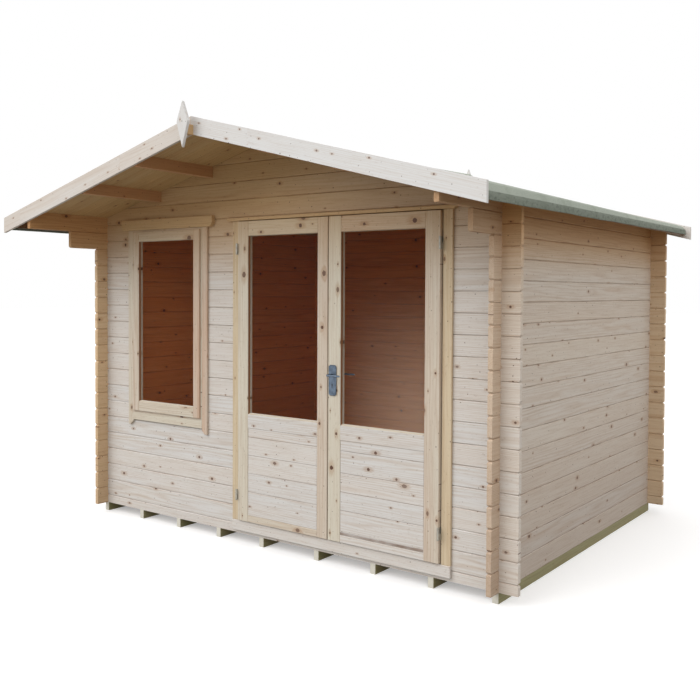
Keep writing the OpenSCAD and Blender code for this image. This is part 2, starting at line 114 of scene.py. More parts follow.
lens = bpy.data.cameras.new("eye")
lens.sensor_width = 36.0
lens.lens = FOCAL * lens.sensor_width
lens.shift_x, lens.shift_y = SHIFT_X, SHIFT_Y
camera = put("eye", lens)
camera.matrix_world = Matrix([*zip(right, up, -ahead, EYE), (0, 0, 0, 1)])
bpy.context.scene.camera = camera
print(f"lens {lens.lens:.1f} mm")

# %% [markdown]
# ## Shader sums
# A material is a sum of patterns. A small class wraps one socket, so that
# `2 * a + b` adds the Math nodes that say so. A second one holds a tree of
# nodes and adds any other node, and a third one holds a material's tree.

# %% Shader helpers


def srgb(red, green, blue):
    """A colour given as 0 to 255 on a screen, as the linear values of a shader."""
    c = np.array([red, green, blue]) / 255
    linear = np.where(c <= 0.04045, c / 12.92, ((c + 0.055) / 1.055) ** 2.4)
    return (*linear, 1.0)


def shades(*numbers):
    """Four colours from twelve screen values."""
    return [srgb(*numbers[i : i + 3]) for i in range(0, 12, 3)]


def adds(operation, swapped=False):
    """A method that adds one kind of Math node, for a sum of a wire and others."""

    def method(self, *others):
        values = (*others, self) if swapped else (self, *others)
        return self.sums.node("Math", {"operation": operation}, dict(enumerate(values)))

    return method


class Wire:
    """One output socket. Sums on it add Math nodes."""

    def __init__(self, sums, socket):
        self.sums, self.socket = sums, socket

    __add__ = __radd__ = adds("ADD")
    __mul__ = __rmul__ = adds("MULTIPLY")
    __sub__, __rsub__ = adds("SUBTRACT"), adds("SUBTRACT", swapped=True)
    __truediv__, __rtruediv__ = adds("DIVIDE"), adds("DIVIDE", swapped=True)
    __lt__, __gt__ = adds("LESS_THAN"), adds("GREATER_THAN")
    least, most = adds("MINIMUM"), adds("MAXIMUM")
    abs, floor, root, sine = adds("ABSOLUTE"), adds("FLOOR"), adds("SQRT"), adds("SINE")

    def beside(self, output):
        """Another output of the same node."""
        return Wire(self.sums, self.socket.node.outputs[output])


class Sums:
    """A tree of nodes, and the ways to add to it."""

    def __init__(self, tree):
        self.tree = tree

    def plug(self, value, socket):
        if isinstance(value, Wire):
            self.tree.links.new(value.socket, socket)
        else:
            socket.default_value = value

    def node(self, kind, settings=None, sockets=None, out=0):
        """Adds a node: its settings first, then the values or wires of its sockets.

        The stops of a ramp are pairs of a position and a colour, from 0 to 1.
        """
        made = self.tree.nodes.new("ShaderNode" + kind)
        for key, value in (settings or {}).items():
            if key == "stops":
                ends = made.color_ramp.elements
                ends[0].color, ends[1].color = value[0][1], value[-1][1]
                for position, colour in value[1:-1]:
                    ends.new(position).color = colour
            else:
                setattr(made, key, value)
        for key, value in (sockets or {}).items():
            self.plug(value, made.inputs[key])
        return Wire(self, made.outputs[out])

    def place(self):
        """The position on the piece in metres, as three wires."""
        return self.split(self.node("TexCoord", out="Object"))

    def attribute(self, name, out="Fac"):
        return self.node("Attribute", {"attribute_name": name}, out=out)

    def seen(self):
        """1 on the rays by which the camera, a mirror or a pane sees a surface."""
        ray = self.node("LightPath", out="Is Camera Ray")
        return ray.most(ray.beside("Is Glossy Ray")).most(ray.beside("Is Transmission Ray"))

    def split(self, vector):
        parts = self.node("SeparateXYZ", None, {0: vector})
        return [parts.beside(i) for i in range(3)]

    def join(self, x=0.0, y=0.0, z=0.0):
        return self.node("CombineXYZ", None, {0: x, 1: y, 2: z})

    def noise(self, *place, scale=1.0, detail=2.0, rough=0.5):
        """Soft noise about 0.5, at a place of two or three wires."""
        values = {"Vector": self.join(*place), "Scale": scale, "Detail": detail}
        return self.node("TexNoise", None, {**values, "Roughness": rough})

    def chance(self, value):
        """A number from 0 to 1 that is the same wherever value is the same."""
        return self.node("TexWhiteNoise", {"noise_dimensions": "1D"}, {"W": value})

    def step(self, value, start, end):
        """0 before start, 1 after end, and a smooth climb between."""
        values = {"Value": value, "From Min": start, "From Max": end}
        return self.node("MapRange", {"interpolation_type": "SMOOTHSTEP"}, values)

    def mix(self, share, first, second, blend="MIX"):
        """A colour that goes from first to second with share."""
        kind = {"data_type": "RGBA", "blend_type": blend}
        return self.node("Mix", kind, {0: share, 6: first, 7: second}, out=2)

    def tint(self, colour, share, *shade):
        """A colour multiplied by the shade (red, green, blue), as far as share says."""
        return self.mix(share, colour, srgb(*shade), "MULTIPLY")

    def bump(self, height, depth):
        """A normal from a height wire of 0 to 1 that stands depth metres high."""
        values = {"Strength": 1.0, "Distance": depth, "Height": height}
        return self.node("Bump", None, values)


class Finish(Sums):
    """A material and the patterns that it is made of."""

    def __init__(self, name):
        self.material = bpy.data.materials.new(name)
        self.material.use_nodes = True
        super().__init__(self.material.node_tree)
        self.shader = self.tree.nodes["Principled BSDF"]

    def end(self, **sockets):
        """Plugs the material's sockets, by their names."""
        for key, value in sockets.items():
            self.plug(value, self.shader.inputs[key.replace("_", " ").title()])
        return self.material


def dress(material, *nodes):
    """Gives nodes of the fixed frame one material."""
    for node in nodes:
        for slot in NODES[node].material_slots:
            slot.material = material
        if not NODES[node].material_slots:
            NODES[node].data.materials.append(material)


# %% [markdown]
# ## Softwood
# Planed spruce is pale, with darker fibres along the board, arched growth
# rings, and knots. It could be painted as an image, but a solid pattern fits
# any board: u runs along the grain, v across the face and w through the
# thickness. Rings are circles about a pith that lies behind the face, bent by
# a slow noise, so faces show long arches and ends show arcs. Knots are the
# cells of a Voronoi pattern, and the rings bend round them. Wood that gets
# rain and sun turns pale and greyish; wood under the canopy stays honey brown.
# That honey brown is pushed warmer and deeper, as painted shade where the
# canopy shades the walls.

# %% Softwood pattern
PALE = shades(214, 211, 207, 211, 205, 199, 209, 206, 203, 210, 202, 193)
JOINERY = shades(209, 203, 187, 206, 197, 181, 202, 187, 171, 200, 168, 144)
WHITE = shades(220, 220, 220, 217, 215, 213, 212, 204, 196, 207, 195, 184)
# The next palette is the honey colour of wood kept from rain, pushed warmer as painted shade
# under the canopy; the one after is a lighter honey, painted light for log ends in dim corners.
HONEY = shades(206, 176, 132, 196, 162, 116, 200, 168, 126, 190, 152, 108)
GOLD = shades(226, 196, 152, 216, 182, 136, 220, 188, 144, 208, 172, 126)
TRIM = shades(208, 192, 162, 204, 186, 156, 206, 188, 160, 198, 176, 146)
# The next palette is unweathered wood pushed to a strong orange, as painted warm light inside the
# cabin.
INSIDE_AND_PAINTED_LIGHT = shades(242, 150, 74, 234, 138, 64, 238, 146, 74, 226, 130, 60)
# The next palette is a dark brown, painted shade for the narrow side beads of the panes.
REVEAL_SHADE = shades(150, 104, 66, 140, 94, 58, 146, 100, 66, 130, 86, 52)
FLOOR = shades(216, 182, 136, 208, 172, 126, 214, 180, 138, 200, 162, 116)
ROOF = shades(198, 167, 118, 190, 156, 106, 194, 164, 118, 182, 146, 98)
RAIL = shades(194, 148, 104, 186, 140, 98, 190, 146, 106, 178, 132, 90)
BATTEN = shades(122, 92, 62, 114, 84, 56, 118, 90, 62, 108, 78, 52)
GREEN = shades(138, 134, 92, 128, 124, 84, 146, 140, 102, 118, 114, 76)
KNOT = srgb(82, 50, 34)


def four(f, share, colours):
    """A colour that passes through four colours as share goes from 0 to 1."""
    stops = list(zip((0.0, 0.36, 0.68, 1.0), colours))
    return f.node("ValToRGB", {"stops": stops}, {0: share})


def knots_of(f, u, v, along, across, many, small, large):
    """Round spots, one in some of the cells of a Voronoi pattern.

    A spot of radius r covers the points nearer than r to its cell's point; its
    halo reaches 2.4 r across the grain and further along it.
    """
    cells = {"Vector": f.join(u * along, v * across), "Scale": 1.0}
    cell = f.node("TexVoronoi", {"voronoi_dimensions": "2D"}, cells, out="Position")
    middle_u, middle_v, _ = f.split(cell)
    red, green, blue = f.split(cell.beside("Color"))
    du = u - middle_u / along
    dv = v - middle_v / across
    there = green < many
    radius = small + (large - small) * red * red
    wobble = f.noise(u * 110.0, v * 110.0, detail=1.0) * 0.6 + 0.7
    near = (du * du * (0.35 + 0.65 * blue) + dv * dv).root() * wobble / radius
    far = (du * du * 0.22 + dv * dv).root() / radius
    core = (1.0 - f.step(near, 0.86, 1.02)) * there
    halo = (1.0 - f.step(far, 0.9, 2.4)) * there
    return core, halo, blue


RING = 0.0072
PIN_KNOTS = (11.0, 19.0, 0.55, 0.0014, 0.0032)
SMALL_KNOT, LARGE_KNOT = 0.0038, 0.0105
GRAIN_DEEP = 0.0006
CELLS = (3.2, 11.0)


def softwood(
    f, u, v, w, tone, layers=(), pale=PALE, knots=CELLS, many=0.5, dark=0.5, size=LARGE_KNOT
):
    """The colour, roughness and height of planed softwood.

    Rings are the sine of the distance from the pith; fibres are noise that is
    stretched along u; knots and pin knots are spots. Each layer is a mask and
    the four colours that it brings in. knots says how many cells there are per
    metre along and across the grain, many is the share of them with a knot,
    size is the largest radius, and dark is how strong grain and rings are.
    """
    pith_v = v - (tone - 0.5) * 0.16
    u = u + tone * 37.0
    v = v + tone * 3.1
    broad = f.noise(u * 0.9, v * 11.0, w * 11.0)
    fibre = f.noise(u * 3.6, v * 95.0, w * 95.0, detail=3.0, rough=0.65)
    fine = f.noise(u * 16.0, v * 460.0, w * 460.0, detail=1.0)
    fleck = f.noise(u * 34.0, v * 90.0, w * 90.0, rough=0.7)
    core, halo, depth = knots_of(f, u, v, *knots, many, SMALL_KNOT, size)
    pin, _, _ = knots_of(f, u + 5.0, v, *PIN_KNOTS)

    pith_w = w - 0.05 - 0.05 * tone
    ring_at = (pith_v * pith_v + pith_w * pith_w).root() + broad * 0.035 + halo * 0.007
    ring = (ring_at * (6.2832 / RING)).sine() * 0.5 + 0.5
    ring = ring * ring * broad

    share = (tone * 0.6 + broad * 0.6 - 0.1).most(0.0).least(1.0)
    colour = four(f, share, pale)
    for mask, colours in layers:
        colour = f.mix(mask, colour, four(f, share, colours))
    colour = f.tint(colour, f.step(fibre, 0.42, 0.72) * 0.5 * dark, 200, 168, 134)
    colour = f.tint(colour, ring * 0.9 * dark, 212, 178, 140)
    colour = f.tint(colour, f.step(fleck, 0.58, 0.74) * 0.5 * dark, 176, 146, 120)
    colour = f.tint(colour, halo * 0.42, 206, 168, 130)
    colour = f.mix(core * (0.65 + 0.35 * depth), colour, KNOT)
    colour = f.mix(pin * 0.85, colour, KNOT)
    height = fibre * 0.5 + fine * 0.3 + ring * 0.2
    return colour, 0.62 + 0.18 * fibre, height


# %% [markdown]
# ## Light and floor
# A cabin in a garden stands under a broad sky, so a soft sky, one wide lamp
# from the front left and a weaker one from the right do for it. The floor and
# the sky are white where the camera, a mirror or a pane sees them, and give
# the wood only a plain level of light, so the canopy keeps its shade.

# %% Light and floor
world = bpy.data.worlds.new("sky")
bpy.context.scene.world = world
world.use_nodes = True
sky = Sums(world.node_tree)
upwards = sky.split(sky.node("TexCoord", out="Generated"))[2]
climb = {"Value": upwards, "From Min": -0.1, "From Max": 0.9, "To Min": 0.62, "To Max": 1.05}
plain_level = sky.node("MapRange", None, climb)
strength = sky.node("Mix", {"data_type": "FLOAT"}, {0: sky.seen(), 2: plain_level, 3: 1.0})
background = sky.tree.nodes["Background"]
sky.plug(strength, background.inputs["Strength"])
sky.plug((1.0, 1.0, 1.0, 1.0), background.inputs["Color"])

for name, power, wide, toward in (
    ("wide_lamp", 1.6, 55, (-0.42, -0.80, 0.62)),
    ("side_lamp", 0.42, 50, (0.86, -0.42, 0.34)),
):
    lamp = bpy.data.lights.new(name, "SUN")
    lamp.energy = power
    lamp.angle = math.radians(wide)
    lamp_object = put(name, lamp)
    lamp_object.rotation_mode = "QUATERNION"
    lamp_object.rotation_quaternion = Vector(toward).to_track_quat("Z", "Y")

ground = Finish("ground")
plain = ground.node("BsdfDiffuse", None, {"Color": (0.24, 0.24, 0.22, 1)})
bright = ground.node("BsdfDiffuse", None, {"Color": (0.8, 0.8, 0.8, 1)})
glow = ground.node("Emission", None, {"Color": (1, 1, 1, 1), "Strength": 0.34})
white = ground.node("AddShader", None, {0: bright, 1: glow})
floor_shader = ground.node("MixShader", None, {0: ground.seen(), 1: plain, 2: white})
ground.plug(floor_shader, ground.tree.nodes["Material Output"].inputs["Surface"])
FAR = 60.0
corners = [(-FAR, -FAR, 0), (FAR, -FAR, 0), (FAR, FAR, 0), (-FAR, FAR, 0)]
plane = mesh_of("ground", corners, [(0, 1, 2, 3)])
plane.materials.append(ground.material)
ground_object = put("ground", plane)

bpy.context.scene.view_settings.view_transform = "Standard"
print("sky, two lamps and a floor")

# %% [markdown]
# ## Log walls
# The grooves between the logs are already in the model. The material works
# out which course a point is on, and that number picks the log's own tone and
# moves its pattern, so no knot runs over from one log to the next.

# %% Log walls


def log_finish(name, along_x):
    """Softwood on a log wall. The course is the floor of the height over one log.

    along_x says that the logs run across the cabin. honey is the share of the
    honey colour of wood kept from rain, which also paints the warm shade under
    the canopy. golden is the share of the lighter golden colour of the logs'
    ends past the corners: partly wood kept from rain, partly painted light where
    the corners get little light. The inside faces get a strong orange that is
    mostly painted warm light inside the cabin.
    """
    f = Finish(name)
    x, y, z = f.place()
    height = (z - WALL_Z) / LOG + (0.5 if along_x else 0.0)
    course = height.floor()
    v = (height - course) * LOG
    edge = (y - FRONT) if along_x else (HALF_W - x.abs())
    side = (y > 0.0) if along_x else (x > 0.0)
    tone = f.chance(course + side * 40.0 + (100.5 if along_x else 0.25))
    behind = y > 0.0
    # Painted shade and light: honey and golden warm the wood more towards the canopy, and golden
    # also lightens the log ends in the dim corners.
    if along_x:
        reach = x.abs() > HALF_W
        outer = (y < FRONT + LOG_THICK * 0.5).most(y > BACK - LOG_THICK * 0.5)
        outside = outer.most(x.abs() > HALF_W - 0.001)
        honey = f.step(z, 1.5, 2.2) * (1.0 - behind) * (1.0 - 0.25 * f.step(x, -0.2, 1.2))
        golden = 0.14 + 0.2 * f.step(z, 1.1, 1.7) + 0.66 * f.step(z, 1.6, 2.1)
        golden = 0.72 * behind + (1.0 - behind) * golden
    else:
        reach = (y < FRONT).most(y > BACK)
        outside = (x.abs() > HALF_W - LOG_THICK * 0.5).most(reach)
        honey = 0.26 + 0.06 * f.step(z, 0.9, 1.5) + 0.68 * f.step(z, 1.66, 2.06)
        golden = 0.85 - 0.35 * (x > 0.0)
    u, w = (x, edge) if along_x else (y, edge)
    # Painted light: the inside faces get a strong orange for the dim warm light inside the cabin,
    # less of it towards the right where more light comes in; it also carries the warmer colour of
    # unweathered wood.
    inside_and_painted_light = (1.0 - outside) * (1.0 - 0.45 * f.step(x, 0.9, 1.5))
    layers = [(honey * (1.0 - reach), HONEY), (reach * golden, GOLD), (inside_and_painted_light, INSIDE_AND_PAINTED_LIGHT)]
    colour, rough, bump = softwood(f, u, v, w, tone, layers)
    # Painted shade: the tint below darkens and warms the walls just under the eaves.
    if along_x:
        eaves = f.step(z, 1.5, 2.08) * (0.2 + 0.8 * reach) * outside
    else:
        eaves = f.step(z, 1.66, 2.04) * outside
        low = 1.0 - f.step(z, 0.1, 1.2)
        colour = f.tint(colour, low, 236, 233, 232)
        colour = f.tint(colour, reach * (x > 0.0), 244, 240, 238)
    colour = f.tint(colour, eaves * (z < 2.2), 226, 200, 168)
    near_joint = 1.0 - f.step(v.least(LOG - v), 0.0006, 0.0030)
    gap = f.noise(u * 5.0, course * 7.7 + side * 3.0)
    open_joint = f.step(gap, 0.38, 0.62)
    colour = f.tint(colour, near_joint * (0.06 + 0.56 * open_joint), 140, 110, 84)
    return f.end(base_color=colour, roughness=rough, normal=f.bump(bump, GRAIN_DEEP))


dress(
    log_finish("logs_across", True),
    "front_sill_log", "front_wall_left", "front_wall_right", "front_gable", "back_wall",
)
dress(log_finish("logs_along", False), "left_wall", "right_wall")
print("log walls dressed")

# %% [markdown]
# ## Boards
# Everything else that is wood is a sawn and planed board: a flat outline with
# a thickness and small chamfers, which catch the light along every edge. One
# maker serves them all. Each point also keeps its place in the board's own
# measures, along and across the grain, for the material.

# %% Board maker
chances = np.random.default_rng(28)
FACING = ((1, 0, 0), (0, 0, 1))


def metres(x, y, z):
    """Millimetres from the front wall's face and the walls' underside, as metres."""
    return np.array([x, y, z]) / 1000 + [0.0, FRONT, WALL_Z]


def unit(rows):
    """The directions of vectors: each over its own length."""
    return rows / np.linalg.norm(rows, axis=-1, keepdims=True)


def faces_between(rings, n, closed=True):
    """Faces between rings of n points. A closed ring's last point meets its first."""
    i, k = np.arange(rings - 1)[:, None] * n, np.arange(n if closed else n - 1)
    after = (k + 1) % n
    return np.stack([i + k, i + after, i + n + after, i + n + k], -1).reshape(-1, 4)


class Boards:
    """The boards of one piece."""

    def __init__(self):
        self.points, self.faces, self.grain, self.tone, self.seam = [], [], [], [], []

    def slab(self, middle, along, across, outline, thick, chamfer=0.0015, tone=None):
        """A flat board. The outline is points (u, v), counter-clockwise, in metres.

        Four rings of the outline lie at w = -t/2, c - t/2, t/2 - c and t/2, inset
        by c, 0, 0 and c, and P = M + u a + v b + w (a x b).
        """
        outline = np.array(outline, float)
        along, across = np.array(along, float), np.array(across, float)
        edge = unit(np.roll(outline, -1, 0) - outline)
        after = np.stack([edge[:, 1], -edge[:, 0]], 1)
        before = np.roll(after, 1, 0)
        push = (before + after) / (1 + (before * after).sum(1, keepdims=True))
        depth = np.array([-thick / 2, chamfer - thick / 2, thick / 2 - chamfer, thick / 2])
        inset = np.array([chamfer, 0.0, 0.0, chamfer])
        flat = outline[None] - push[None] * inset[:, None, None]
        n, first = len(outline), sum(len(points) for points in self.points)
        local = np.concatenate([flat, np.broadcast_to(depth[:, None, None], (4, n, 1))], 2)
        axes = np.stack([along, across, np.cross(along, across)])
        k = np.arange(n)
        self.points.append((local @ axes).reshape(-1, 3) + middle)
        self.faces += (faces_between(4, n) + first).tolist()
        self.faces += [(first + k[::-1]).tolist(), (first + 3 * n + k).tolist()]
        self.grain.append(local.reshape(-1, 3))
        self.tone.append(np.full(4 * n, chances.random() if tone is None else tone))
        self.seam.append(np.repeat([0.0, 1.0, 1.0, 0.0], n))

    def board(self, middle, along, across, length, width, thick, chamfer=0.0015, tone=None):
        """A plain board whose grain runs along its length."""
        a, b = length / 2, width / 2
        outline = [(-a, -b), (a, -b), (a, b), (-a, b)]
        self.slab(middle, along, across, outline, thick, chamfer, tone)

    def bar(self, x, y, z, grain, chamfer=1.5, tone=None):
        """A board square to the walls, between the given limits in millimetres."""
        low, high = metres(x[0], y[0], z[0]), metres(x[1], y[1], z[1])
        size = high - low
        axes = np.eye(3)
        g = "xyz".index(grain)
        wide, thin = sorted((i for i in range(3) if i != g), key=lambda i: -size[i])
        sizes = size[g], size[wide], size[thin]
        self.board((low + high) / 2, axes[g], axes[wide], *sizes, chamfer / 1000, tone)

    def make(self, name, material, *nodes, slot="joinery_timber", body="cabin"):
        """Turns the boards into one piece that rides on a body and stands for nodes."""
        mesh = mesh_of(name, np.concatenate(self.points).tolist(), self.faces)
        grain = mesh.attributes.new("grain", "FLOAT_VECTOR", "POINT")
        grain.data.foreach_set("vector", np.concatenate(self.grain).ravel())
        for key, values in (("tone", self.tone), ("seam", self.seam)):
            made = mesh.attributes.new(key, "FLOAT", "POINT")
            made.data.foreach_set("value", np.concatenate(values))
        return settle(mesh, name, body, material, nodes)


def settle(mesh, name, body, material, nodes=()):
    """Puts a finished mesh in the scene as a piece."""
    mesh.materials.append(material)
    piece = put(name, mesh)
    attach(piece, body)
    if nodes:
        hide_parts(*nodes)
    return piece


def timber(name, pale, honey=None, seam=0.0, end=None, deep=GRAIN_DEEP, **grown):
    """Softwood that follows each board's own measures.

    honey is the lowest and highest z between which the colour goes from
    weathered to honey brown; the honey brown also paints the shade under the
    canopy. seam is how dark the joints between boards are.
    end is where, from a board's middle, its sawn end face begins.
    """
    f = Finish(name)
    u, v, w = f.split(f.attribute("grain", "Vector"))
    tone = f.attribute("tone")
    layers = [(f.step(f.place()[2], *honey), HONEY)] if honey else []
    grown = {"knots": (2.6, 11.0), "size": 0.0095, **grown}
    colour, rough, height = softwood(f, u, v, w, tone, layers, pale, **grown)
    if seam:
        gap = f.noise(u * 6.0, tone * 50.0)
        dark_joint = f.attribute("seam") * (seam * (0.45 + 0.4 * f.step(gap, 0.3, 0.7)))
        colour = f.tint(colour, dark_joint, 136, 106, 82)
    if end:
        colour = f.mix(u.abs() > end, colour, srgb(212, 207, 194))
    return f.end(base_color=colour, roughness=rough, normal=f.bump(height, deep))


# Between these heights the joinery goes honey brown: partly the colour of wood kept from rain,
# partly painted shade under the canopy.
UNDER_CANOPY = (1.6, 2.3)
JOINERY_WOOD = timber(
    "joinery_wood", JOINERY, honey=UNDER_CANOPY, many=0.7, knots=(3.8, 14.0), size=0.016
)
TRIM_WOOD = timber("trim_wood", TRIM, honey=UNDER_CANOPY, knots=(3.4, 14.0))
REVEAL_SHADE_WOOD = timber("reveal_shade_wood", REVEAL_SHADE, many=0.2)
RAIL_WOOD = timber("middle_rail_wood", PALE, many=0.95, knots=(4.2, 9.0), size=0.015)
DRIP_WOOD = timber("drip_wood", JOINERY, honey=(1.5, 2.08))
PANEL_WOOD = timber("panel_wood", PALE, many=0.7, knots=(4.2, 9.0), seam=1.0, size=0.014)
SILL_WOOD = timber("sill_wood", PALE, many=0.6)
WHITE_WOOD = timber("white_wood", WHITE, dark=0.3, knots=(5.5, 16.0), size=0.0055)
ROOF_WOOD = timber("roof_wood", ROOF, seam=0.8)
FLOOR_WOOD = timber("floor_wood", FLOOR, seam=0.9)
print("board maker and timbers")

# %% [markdown]
# ## Double doors
# Each leaf is framed: two stiles from top to bottom, rails between them, glass
# above and matched boards below. The glass lies behind a bevelled bead. The
# places of the frame's members come from the model's glass and panel.

# %% Door leaves
BEAD, BEAD_BELOW, BEAD_THICK = 3.5, 10.0, 3.0
GROOVE = 8.0
SUNK = np.array([0.6, -0.6])


def millimetres(node):
    """A node's limits in millimetres from the front wall's face."""
    low, high = box(node)
    shift = np.array([0.0, FRONT, WALL_Z])
    return np.stack([(low - shift) * 1000, (high - shift) * 1000], 1)


def bead(rails, stiles, x0, x1, z0, z1, y_face, y_glass):
    """A frame of four mitred bevelled beads round a pane.

    Each bead is a slab whose front is tilted: from the opening's edge at the
    face it falls towards the glass.
    """
    corners = [(x0, z0), (x1, z0), (x1, z1), (x0, z1)]
    for i in range(4):
        (xa, za), (xb, zb) = corners[i], corners[(i + 1) % 4]
        width = BEAD_BELOW if i == 0 else BEAD
        side = np.array([xb - xa, 0, zb - za])
        run = unit(side)
        fall = np.array([-run[2] * width, y_glass - y_face, run[0] * width])
        tilt = unit(fall)
        middle = np.array([(xa + xb) / 2, y_face, (za + zb) / 2]) + fall / 2
        a, b = np.linalg.norm(side) / 2, np.linalg.norm(fall) / 2
        cut = BEAD if i % 2 == 0 else 0.0
        outline = np.array([(-a, -b), (a, -b), (a - cut, b), (-a + cut, b)]) / 1000
        normal = np.cross(run, tilt)
        middle = middle + normal * (BEAD_THICK / 2) * np.sign(normal[1])
        boards = stiles if i % 2 else rails
        boards.slab(metres(*middle), run, tilt, outline, BEAD_THICK / 1000, 0.0006, 0.1)


def framed(wood, outer_x, y, z, inner_x, inner_z, chamfer, tones=(None,) * 4, sunk=0, foot=None):
    """Two stiles over the whole height, and a bottom and a top rail between them."""
    rails, tone = y + sunk, iter(tones)
    wood.bar((outer_x[0], inner_x[0]), y, z, "z", chamfer, next(tone))
    wood.bar((inner_x[1], outer_x[1]), y, z, "z", chamfer, next(tone))
    (foot or wood).bar(inner_x, rails, (z[0], inner_z[0]), "x", chamfer, next(tone))
    wood.bar(inner_x, rails, (inner_z[1], z[1]), "x", chamfer, next(tone))


def leaf(side, joints, tones):
    """One leaf: frame, beads and panel boards, with joints at the given heights.

    tones are those of the two stiles and of the bottom and top rail. Rails are
    sunk a little between the stiles, and panes sit in grooves.
    """
    frame_x, frame_y, frame_z = millimetres(side + "_leaf_frame")
    panel_x, panel_y, panel_z = millimetres(side + "_leaf_panel")
    _, glass_y, glass_z = millimetres(side + "_leaf_glass")
    glass_z = glass_z + [GROOVE, -GROOVE]
    body = side + "_door"
    outer_x = frame_x + ([0.3, 0.0] if side == "left" else [0.0, -0.3])
    wood, middle, sides, infill = Boards(), Boards(), Boards(), Boards()
    foot = wood if side == "left" else middle
    inner_z = (panel_z[0], glass_z[1])
    framed(wood, outer_x, frame_y, frame_z, panel_x, inner_z, 2.0, tones, SUNK, foot)
    bead(wood, sides, *panel_x, *glass_z, frame_y[0] + 4, glass_y[0])
    # Painted shade: the side beads are a dark brown that stands for the shade on them.
    sides.make(side + "_leaf_side_beads", REVEAL_SHADE_WOOD, body=body)
    wood.make(side + "_leaf_woodwork", JOINERY_WOOD, side + "_leaf_frame", body=body)
    middle.bar(panel_x, frame_y + SUNK, (panel_z[1], glass_z[0]), "x", 1.0)
    middle.make(side + "_leaf_middle_rail", RAIL_WOOD, body=body)
    heights = [panel_z[0], *joints, panel_z[1]]
    for low, high in zip(heights[:-1], heights[1:]):
        infill.bar(panel_x, panel_y, (low, high), "x", 2.6)
    infill.make(side + "_leaf_boards", PANEL_WOOD, side + "_leaf_panel", body=body)


leaf("left", (281.5, 397, 510, 624), (0.14, 0.68, 0.5, 0.08))
leaf("right", (151, 277.5, 383, 493, 621), (0.02, 0.62, 0.4, 0.84))
print("two leaves")

# %% [markdown]
# ## Doorway
# The leaves close against a stop on the lining. Flat trims cover the joint
# with the logs, a sill board runs below, and a thin drip board above.

# %% Doorway
jamb_l, jamb_r = millimetres("door_jamb_left"), millimetres("door_jamb_right")
head = millimetres("door_head")
LINING, STOP_THICK, STOP_WIDE, OVERLAP, SHY = 30, 33, 15, 1, 0.3
lining_x = (head[0][0] + LINING, head[0][1] - LINING)
lining_y = jamb_l[1][1]
stop_y = lining_y - STOP_THICK
wood = Boards()
for tone, inner, outer, trim, way in (
    (0.4, lining_x[0], head[0][0], jamb_l[0][0], -1),
    (0.56, lining_x[1], head[0][1], jamb_r[0][1], 1),
):
    face = inner + way * SHY
    stop = sorted((inner + way * OVERLAP, inner - way * STOP_WIDE))
    wood.bar(sorted((trim, face)), (jamb_l[1][0], 0), jamb_l[2], "z", 2.0, tone)
    wood.bar(sorted((outer, face)), (0, lining_y), jamb_l[2], "z")
    wood.bar(stop, (stop_y, lining_y), jamb_l[2], "z")
wood.make("doorway_sides", TRIM_WOOD, "door_jamb_left", "door_jamb_right")

wood = Boards()
sill = millimetres("door_sill")
HEAD_THICK, SILL_LOG_TOP = 24, 57
under_head = head[2][1] - HEAD_THICK
between_stops = (lining_x[0] + STOP_WIDE, lining_x[1] - STOP_WIDE)
wood.bar(head[0], (0, lining_y), (under_head, head[2][1]), "x")
wood.bar(between_stops, (stop_y, lining_y), (head[2][0], under_head), "x")
wood.make("doorway_top", JOINERY_WOOD, "door_head")
wood = Boards()
wood.bar(sill[0], (sill[1][0], 0), sill[2], "x", 2.5)
wood.bar(head[0], (0, sill[1][1]), (SILL_LOG_TOP, sill[2][1]), "x")
wood.make("sill_boards", SILL_WOOD, "door_sill")


def drip_board(name, node, cut):
    """A thin board whose lower corners are cut off at 45 degrees."""
    limits = millimetres(node)
    a, half, b = (limits[:, 1] - limits[:, 0]) / 2000
    c = cut / 1000
    outline = [(-a, b), (-a, c - b), (c - a, -b), (a - c, -b), (a, c - b), (a, b)]
    wood = Boards()
    wood.slab(metres(*limits.mean(1)), *FACING, outline, 2 * half, 0.002)
    wood.make(name, DRIP_WOOD, node)


drip_board("door_drip_board", "door_head_board", 12)
drip_board("window_drip_board", "window_head_board", 20)
print("doorway")

# %% [markdown]
# ## Window
# The sash is fixed in a thin frame. Its trim has three boards, and the lower
# one stops short between two feet, each cut off at a slant.

# %% Window
sash_x, sash_y, sash_z = millimetres("window_sash")
pane_x, pane_y, pane_z = millimetres("window_glass")
pane_x, pane_z = pane_x + [GROOVE, -GROOVE], pane_z + [GROOVE, -GROOVE]
wood = Boards()
framed(wood, sash_x, sash_y, sash_z, pane_x, pane_z, 2.5, (0.55, 0.97, 0.3, 0.15), SUNK)
sides = Boards()
bead(wood, sides, *pane_x, *pane_z, sash_y[0] + 4, pane_y[0])
# Painted shade: the side beads are a dark brown that stands for the shade on them.
sides.make("sash_side_beads", REVEAL_SHADE_WOOD)
wood.make("sash_woodwork", JOINERY_WOOD, "window_sash")

rim_x, rim_y, rim_z = millimetres("window_frame")
wood = Boards()
framed(wood, rim_x, rim_y, rim_z, sash_x, sash_z, 1.0)
wood.make("window_rim", JOINERY_WOOD, "window_frame")

